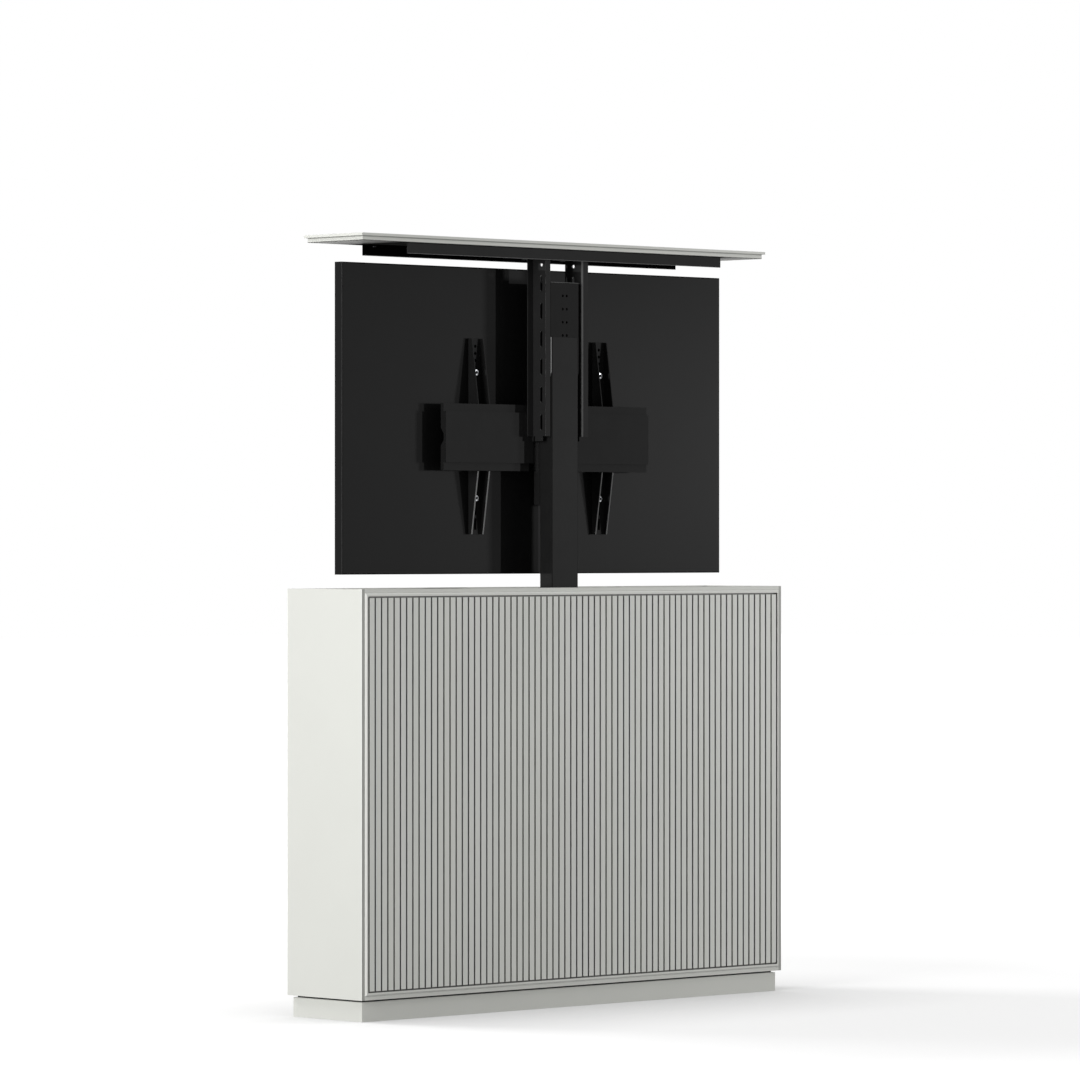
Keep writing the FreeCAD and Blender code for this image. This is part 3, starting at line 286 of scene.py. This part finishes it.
def painted_arm_edge_highlight():
    """Painted highlight where the sheared lower edges of the arms' flanges, and a narrow strip
    beside them, reflect the floor.
    """
    tree = arm_steel.node_tree
    _, y, z, _, _, _ = place_and_normal(tree)
    end_y = ARM_HIGH[1] - ARM_END_DEPTH
    slope = (end_y - ARM_LOW[1]) / (CROSSBAR_BOTTOM - ARM_LOW[2])
    edge_y = combine(tree, "MULTIPLY_ADD", z, -slope, ARM_LOW[1] + slope * CROSSBAR_BOTTOM)
    highlighted = below(tree, combine(tree, "SUBTRACT", y, edge_y), HIGHLIGHT_WIDTH)
    under_crossbar = below(tree, z, CROSSBAR_BOTTOM)
    repaint(arm_steel, all_of(tree, highlighted, under_crossbar), ARM_EDGE_HIGHLIGHT)


LEG_SHEET = 0.0036
LEG_TURN = 0.3
# Colour of the painted highlight on the bracket leg's near edge.
LEG_EDGE_HIGHLIGHT = grey(170)


def painted_leg_edge_highlight():
    """Painted highlight on the sheared near edge of the head bracket's -X leg beside the
    column.
    """
    tree = bracket_steel.node_tree
    x, _, z, _, ny, _ = place_and_normal(tree)
    side = between(tree, x, COLUMN_LOW[0] - LEG_SHEET, COLUMN_LOW[0])
    near = below(tree, ny, -LEG_TURN)
    beside = below(tree, z, COLUMN_HIGH[2])
    repaint(bracket_steel, all_of(tree, side, near, beside), LEG_EDGE_HIGHLIGHT)


def dark_behind_arms():
    """The unlit patch of the television's back under each arm's web."""
    tree = tv_plastic.node_tree
    x, _, z, _, _, _ = place_and_normal(tree)
    left = between(tree, x, ARM_LOW[0] + ARM_SHEET, ARM_HIGH[0] - ARM_SHEET)
    right = between(tree, x, OTHER_ARM_LOW[0] + ARM_SHEET, OTHER_ARM_HIGH[0] - ARM_SHEET)
    height = between(tree, z, ARM_LOW[2] + ARM_SHEET, ARM_HIGH[2] - ARM_SHEET)
    either = combine(tree, "ADD", left, right)
    repaint(tv_plastic, all_of(tree, either, height), BEHIND_ARMS)


# The arms' screws stand in a rectangle: its middle, and how far its corners are from there.
SCREW_HEAD = 0.008
SCREW_MIDDLE = [(low + high) / 2 for low, high in zip(SCREWS_LOW, SCREWS_HIGH)]
SCREW_REACH = [(high - low) / 2 - SCREW_HEAD for low, high in zip(SCREWS_LOW, SCREWS_HIGH)]
# Radius and colour of the painted shade that stands for each screw's socket.
SCREW_SOCKET = 0.0034
SOCKET_SHADE = colour(30, 30, 32)


def painted_socket_shade():
    """Painted shade of a socket recess: a dark disc in the head of each screw of the arms."""
    tree = screw_zinc.node_tree
    x, _, z, _, ny, _ = place_and_normal(tree)
    inside = in_circle(tree, distance_from(tree, x, SCREW_MIDDLE[0]),
                       distance_from(tree, z, SCREW_MIDDLE[2]),
                       (SCREW_REACH[0], SCREW_REACH[2]), SCREW_SOCKET)
    repaint(screw_zinc, all_of(tree, inside, below(tree, ny, -SQUARE)), SOCKET_SHADE)


# Heights over the upper screws, and depths under the lower ones.
ARM_HOLES = (-0.0153, 0.0113, 0.0275, 0.0437, 0.0599)
ARM_SLOTS = (0.012, 0.046)
ARM_HOLE = 0.0037
ARM_SLOT = 0.026


def dark_arm_holes():
    """Shadow round the holes and slots of the arms."""
    tree = arm_steel.node_tree
    x, _, z, _, ny, _ = place_and_normal(tree)
    across = distance_from(tree, x, SCREW_MIDDLE[0])
    column = SCREW_REACH[0]
    upper_screw = SCREW_MIDDLE[2] + SCREW_REACH[2]
    lower_screw = SCREW_MIDDLE[2] - SCREW_REACH[2]
    masks = []
    for rise in ARM_HOLES:
        masks.append(in_circle(tree, across, z, (column, upper_screw + rise), ARM_HOLE))
    for drop in ARM_SLOTS:
        wide = between(tree, across, column - ARM_HOLE, column + ARM_HOLE)
        tall = between(tree, z, lower_screw - drop - ARM_SLOT, lower_screw - drop)
        masks.append(all_of(tree, wide, tall))
    repaint(arm_steel, all_of(tree, any_of(tree, masks), below(tree, ny, -SQUARE)), UNLIT)


BRACKET_ROWS = 4
BRACKET_FOOT = 0.0045
BRACKET_PITCH = 0.0303
BRACKET_SPACING = 0.013
BRACKET_HOLE = 0.0031


def dark_bracket_holes():
    """Shadow round the paired holes of the head bracket."""
    tree = bracket_steel.node_tree
    x, _, z, _, _, _ = place_and_normal(tree)
    across = distance_from(tree, x, 0.0)
    masks = []
    for row in range(BRACKET_ROWS):
        height = COLUMN_HIGH[2] + BRACKET_FOOT + row * BRACKET_PITCH
        centre = (BRACKET_SPACING / 2, height)
        masks.append(in_circle(tree, across, z, centre, BRACKET_HOLE))
    repaint(bracket_steel, any_of(tree, masks), UNLIT)


GROOVE_LIT = 0.0008
FLUTE_FRAME = 0.0075
GROOVE = colour(132, 132, 129)


def dark_grooves():
    """Less light reaches the depth of the grooves between the slats."""
    low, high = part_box("fluted_panel_back")
    tree = lit_flute_paint.node_tree
    x, y, z, _, _, _ = place_and_normal(tree)
    deep = below(tree, distance_from(tree, y, 0.0), -low[1] - GROOVE_LIT)
    inside = all_of(tree, between(tree, x, low[0] + FLUTE_FRAME, high[0] - FLUTE_FRAME),
                    between(tree, z, low[2] + FLUTE_FRAME, high[2] - FLUTE_FRAME))
    repaint(lit_flute_paint, all_of(tree, deep, inside), GROOVE)


LID_CORE_LOW, LID_CORE_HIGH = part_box("lid_core")
# Colours of the painted shade on the lid's underside, seam and lower edge.
LID_UNDERSIDE = colour(176, 176, 171)
UNDERSIDE_FADE = 0.12
LID_BETWEEN_BARS = colour(56, 56, 55)
SEAM = 0.0022
LID_SEAM = colour(170, 171, 166)
LID_JOINT = 0.0013
LID_JOINT_SHADE = colour(60, 60, 58)
NOT_UNDER = -0.5


def lid_shadows():
    """Painted shade on the lid: its underside, darker inwards, the line under its top layer
    and its lower edge.
    """
    tree = lid_paint.node_tree
    x, _, z, _, _, nz = place_and_normal(tree)
    under = below(tree, nz, -SQUARE)
    repaint(lid_paint, under, LID_UNDERSIDE)
    inward = combine(tree, "SUBTRACT", LID_CORE_HIGH[0], distance_from(tree, x, 0.0))
    fade = combine(tree, "MULTIPLY", inward, 1 / UNDERSIDE_FADE)
    fade = combine(tree, "MAXIMUM", combine(tree, "MINIMUM", fade, 1.0), 0.0)
    shaded = all_of(tree, under, fade)
    repaint(lid_paint, shaded, LID_BETWEEN_BARS)
    weaken(lid_paint, "Specular IOR Level", shaded)
    seam = between(tree, z, LID_CORE_HIGH[2] - SEAM, LID_CORE_HIGH[2])
    repaint(lid_paint, seam, LID_SEAM)
    lower_edge = below(tree, z, LID_CORE_LOW[2] + LID_JOINT)
    side = above(tree, nz, NOT_UNDER)
    repaint(lid_paint, all_of(tree, lower_edge, side), LID_JOINT_SHADE)


# Painted shade on the far bar; painted highlights on the bars' long edges and the right post's
# bend.
FAR_BAR_SHADE = grey(8)
BAR_SLANT = 0.05
BAR_EDGE_HIGHLIGHT = grey(122)
POST_BEND_HIGHLIGHT = grey(112)


def bar_shadows():
    """Painted shade on the lid bars' joint with the lid, and on the far bar in the lid's
    shadow.
    """
    tree = post_steel.node_tree
    _, y, z, _, _, _ = place_and_normal(tree)
    repaint(post_steel, above(tree, z, LID_CORE_LOW[2] - LID_JOINT), UNLIT)
    repaint(post_steel, above(tree, y, 0.0), FAR_BAR_SHADE)


def painted_bar_edge_highlights():
    """Painted highlights where the long edges of the lid bars and the near bend of the right
    post catch the light.
    """
    tree = post_steel.node_tree
    x, _, _, nx, ny, nz = place_and_normal(tree)
    slant = distance_from(tree, combine(tree, "MULTIPLY", ny, nz), 0.0)
    repaint(post_steel, above(tree, slant, BAR_SLANT), BAR_EDGE_HIGHLIGHT)
    bend = all_of(tree, below(tree, nx, -LEANING), below(tree, ny, -LEANING),
                  above(tree, x, 0.0))
    repaint(post_steel, bend, POST_BEND_HIGHLIGHT)


# Painted highlight on the end panels' corners and the frames' chamfers; painted shade on the
# panels' edge face.
CORNER = 0.0026
CORNER_HIGHLIGHT = colour(250, 251, 246)
PANEL_EDGE_WIDTH = 0.0085
PANEL_EDGE_SHADE = colour(180, 181, 176)
CHAMFER_TURN = (0.4, 0.9)
CHAMFER_HIGHLIGHT = colour(252, 253, 248)


def panel_corners():
    """Painted highlight on the corners of the end panels and painted shade on the edge face
    beside them.
    """
    low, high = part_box("side_panel_left")
    tree = paint.node_tree
    x, y, _, nx, ny, _ = place_and_normal(tree)
    corner = above(tree, distance_from(tree, y, 0.0), high[1] - CORNER)
    outer = above(tree, distance_from(tree, nx, 0.0), SQUARE)
    repaint(paint, all_of(tree, corner, outer), CORNER_HIGHLIGHT)
    edge_face = above(tree, distance_from(tree, ny, 0.0), SQUARE)
    end = above(tree, distance_from(tree, x, 0.0), -low[0] - PANEL_EDGE_WIDTH)
    repaint(paint, all_of(tree, edge_face, end), PANEL_EDGE_SHADE)


def painted_chamfer_highlights():
    """Painted highlight on the chamfers of the fluted panels' frames."""
    tree = lit_flute_paint.node_tree
    _, _, _, _, ny, _ = place_and_normal(tree)
    repaint(lit_flute_paint, between(tree, distance_from(tree, ny, 0.0), *CHAMFER_TURN),
            CHAMFER_HIGHLIGHT)


# Colour of the painted highlight on the head bracket's upper near edge.
BRACKET_BEND_HIGHLIGHT = grey(140)


def painted_bracket_bend_highlight():
    """Painted highlight where the head bracket's upper near edge catches the light."""
    tree = bracket_steel.node_tree
    _, _, _, _, ny, nz = place_and_normal(tree)
    repaint(bracket_steel, all_of(tree, below(tree, ny, -LEANING), above(tree, nz, LEANING)),
            BRACKET_BEND_HIGHLIGHT)


UPRIGHT_SLANT = 0.02


def calm_bends(material):
    """No coat on the upright bends, which are brushed dull."""
    tree = material.node_tree
    _, _, _, nx, ny, _ = place_and_normal(tree)
    slant = distance_from(tree, combine(tree, "MULTIPLY", nx, ny), 0.0)
    weaken(material, "Coat Weight", above(tree, slant, UPRIGHT_SLANT))


# Where two of them meet, the later one shows.
painted_arm_edge_highlight()
painted_leg_edge_highlight()
dark_behind_arms()
painted_socket_shade()
dark_arm_holes()
dark_bracket_holes()
dark_grooves()
lid_shadows()
bar_shadows()
panel_corners()
painted_chamfer_highlights()
painted_bar_edge_highlights()
painted_bracket_bend_highlight()
for steel in (column_steel, black_steel, bracket_steel):
    calm_bends(steel)


# ---- What each piece wears -------------------------------------------------------------

WEAR = {
    paint: ["side_panel_left", "side_panel_right", "back_board", "front_board",
            "plinth_back", "plinth_front", "plinth_ends"],
    lit_flute_paint: ["fluted_panel_back", "fluted_panel_front"],
    lid_paint: ["lid_core", "lid_top"],
    raw_board: ["bottom_panel", "corner_battens"],
    gap_black: ["shadow_gap_frame"],
    column_steel: ["outer_column"],
    post_steel: ["lid_post_left", "lid_post_right", "lid_straps", "lid_bar_back",
                 "lid_bar_front"],
    black_steel: ["crossbar", "mount_plate", "doubler_plate", "base_plate", "lift_motor"],
    arm_steel: ["vesa_arm_left", "vesa_arm_right"],
    screw_zinc: ["arm_screws"],
    bracket_steel: ["head_bracket"],
    drawn_steel: ["inner_column", "mid_column", "push_tube", "spindle"],
    zinc: ["levelling_feet", "base_screws", "pulley_pins"],
    black_oxide: ["bracket_screws", "lid_screws", "mount_screws"],
    tv_plastic: ["tv_back_cover", "tv_bezel"],
    screen_glass: ["tv_screen"],
    black_plastic: ["control_box", "inlet_socket", "gear_housing", "column_cap"],
    glide_plastic: ["inner_glides", "mid_glides", "outer_glides"],
    belt_rubber: ["drive_belts", "cable_grommet"],
    alloy: ["pulley_upper_left", "pulley_upper_right", "pulley_lower_left",
            "pulley_lower_right", "pulley_yokes", "inner_belt_clamps",
            "outer_belt_clamps"],
    brass: ["spindle_nut"],
}
for material, names in WEAR.items():
    for name in names:
        for slot in NODES[name].material_slots:
            slot.material = material


# ---- Floor, world, lamps and camera ----------------------------------------------------

WHITE = (1.0, 1.0, 1.0, 1.0)
FLOOR_REACH = 40.0
BOUNCE_GREY = (0.30, 0.30, 0.30, 1.0)
PAPER_GREY = (0.50, 0.50, 0.50, 1.0)
GLOW_NEAR = 1.6
GLOW_FAR = 4.0
GLOW_BY_OBJECT = 0.64
CONTACT_REACH = 0.6
CONTACT_SAMPLES = 8
WORLD_LIGHT = 0.273

# Name, place, side of the square and power of each lamp.
LAMPS = (
    ("key_left", (-5.2, -0.9, 1.8), 2.2, 156.0),
    ("side_right", (4.6, -3.4, 1.35), 0.5, 109.0),
    ("back_high", (-1.7, 4.2, 3.6), 2.0, 175.0),
)
LIT_POINT = (0.0, 0.0, 0.9)

CAMERA_PLACE = (-9.716, -9.863, 1.069)
CAMERA_TILT = 90.0
CAMERA_TURN = -44.56
LENS = 200.0
SENSOR = 36.0
CAMERA_REACH = 100.0


def seen_rays(tree):
    """1 for camera, glossy and transmission rays, 0 for the light that falls on things."""
    path = tree.nodes.new("ShaderNodeLightPath")
    return any_of(tree, [path.outputs[kind] for kind in
                         ("Is Camera Ray", "Is Glossy Ray", "Is Transmission Ray")])


def mix_shown(tree, cast, shown, output):
    """One shader for the light that falls on things, another for what is seen."""
    mix = tree.nodes.new("ShaderNodeMixShader")
    tree.links.new(seen_rays(tree), mix.inputs[0])
    tree.links.new(cast.outputs[0], mix.inputs[1])
    tree.links.new(shown.outputs[0], mix.inputs[2])
    tree.links.new(mix.outputs[0], output.inputs["Surface"])


def floor_glow(tree):
    """How white the floor shows: all white far away, darker near and under the object."""
    place = tree.nodes.new("ShaderNodeTexCoord")
    distance = tree.nodes.new("ShaderNodeVectorMath")
    distance.operation = "LENGTH"
    tree.links.new(place.outputs["Object"], distance.inputs[0])
    fade = node(tree, "ShaderNodeMapRange", From_Min=GLOW_NEAR, From_Max=GLOW_FAR,
                To_Min=GLOW_BY_OBJECT, To_Max=1.0)
    tree.links.new(distance.outputs["Value"], fade.inputs["Value"])
    contact = node(tree, "ShaderNodeAmbientOcclusion", Distance=CONTACT_REACH)
    contact.samples = CONTACT_SAMPLES
    return combine(tree, "MULTIPLY", fade.outputs["Result"], contact.outputs["AO"])


def make_floor():
    """A white paper floor: it keeps the object's shadow and fades to the white backdrop."""
    mesh = bpy.data.meshes.new("studio_floor")
    corners = [(-1, -1), (1, -1), (1, 1), (-1, 1)]
    mesh.from_pydata([(x * FLOOR_REACH, y * FLOOR_REACH, 0) for x, y in corners], [],
                     [(0, 1, 2, 3)])
    floor = bpy.data.objects.new("studio_floor", mesh)
    scene.collection.objects.link(floor)
    material, tree = new_material("studio_floor")
    tree.nodes.clear()
    output = tree.nodes.new("ShaderNodeOutputMaterial")
    bounce = node(tree, "ShaderNodeBsdfDiffuse", Color=BOUNCE_GREY)
    paper = node(tree, "ShaderNodeBsdfDiffuse", Color=PAPER_GREY)
    glow = node(tree, "ShaderNodeEmission", Color=WHITE)
    tree.links.new(floor_glow(tree), glow.inputs["Strength"])
    shown = tree.nodes.new("ShaderNodeAddShader")
    tree.links.new(paper.outputs[0], shown.inputs[0])
    tree.links.new(glow.outputs[0], shown.inputs[1])
    mix_shown(tree, bounce, shown, output)
    mesh.materials.append(material)


def make_world():
    """A soft white light all round, behind a backdrop that shows white."""
    world = bpy.data.worlds.new("studio")
    world.use_nodes = True
    scene.world = world
    tree = world.node_tree
    tree.nodes.clear()
    output = tree.nodes.new("ShaderNodeOutputWorld")
    light = node(tree, "ShaderNodeBackground", Color=WHITE, Strength=WORLD_LIGHT)
    backdrop = node(tree, "ShaderNodeBackground", Color=WHITE, Strength=1.0)
    mix_shown(tree, light, backdrop, output)


def make_lamp(name, place, side, power):
    data = bpy.data.lights.new(name, "AREA")
    data.shape = "SQUARE"
    data.size = side
    data.energy = power
    lamp = bpy.data.objects.new(name, data)
    lamp.location = place
    toward = Vector(LIT_POINT) - Vector(place)
    lamp.rotation_euler = toward.to_track_quat("-Z", "Y").to_euler()
    scene.collection.objects.link(lamp)


def make_camera():
    data = bpy.data.cameras.new("camera")
    data.sensor_width = SENSOR
    data.lens = LENS
    data.clip_end = CAMERA_REACH
    camera = bpy.data.objects.new("camera", data)
    camera.location = CAMERA_PLACE
    camera.rotation_euler = (math.radians(CAMERA_TILT), 0.0, math.radians(CAMERA_TURN))
    scene.collection.objects.link(camera)
    bpy.context.scene.camera = camera


make_floor()
make_world()
make_camera()
for name, place, side, power in LAMPS:
    make_lamp(name, place, side, power)

scene.view_settings.view_transform = "Standard"
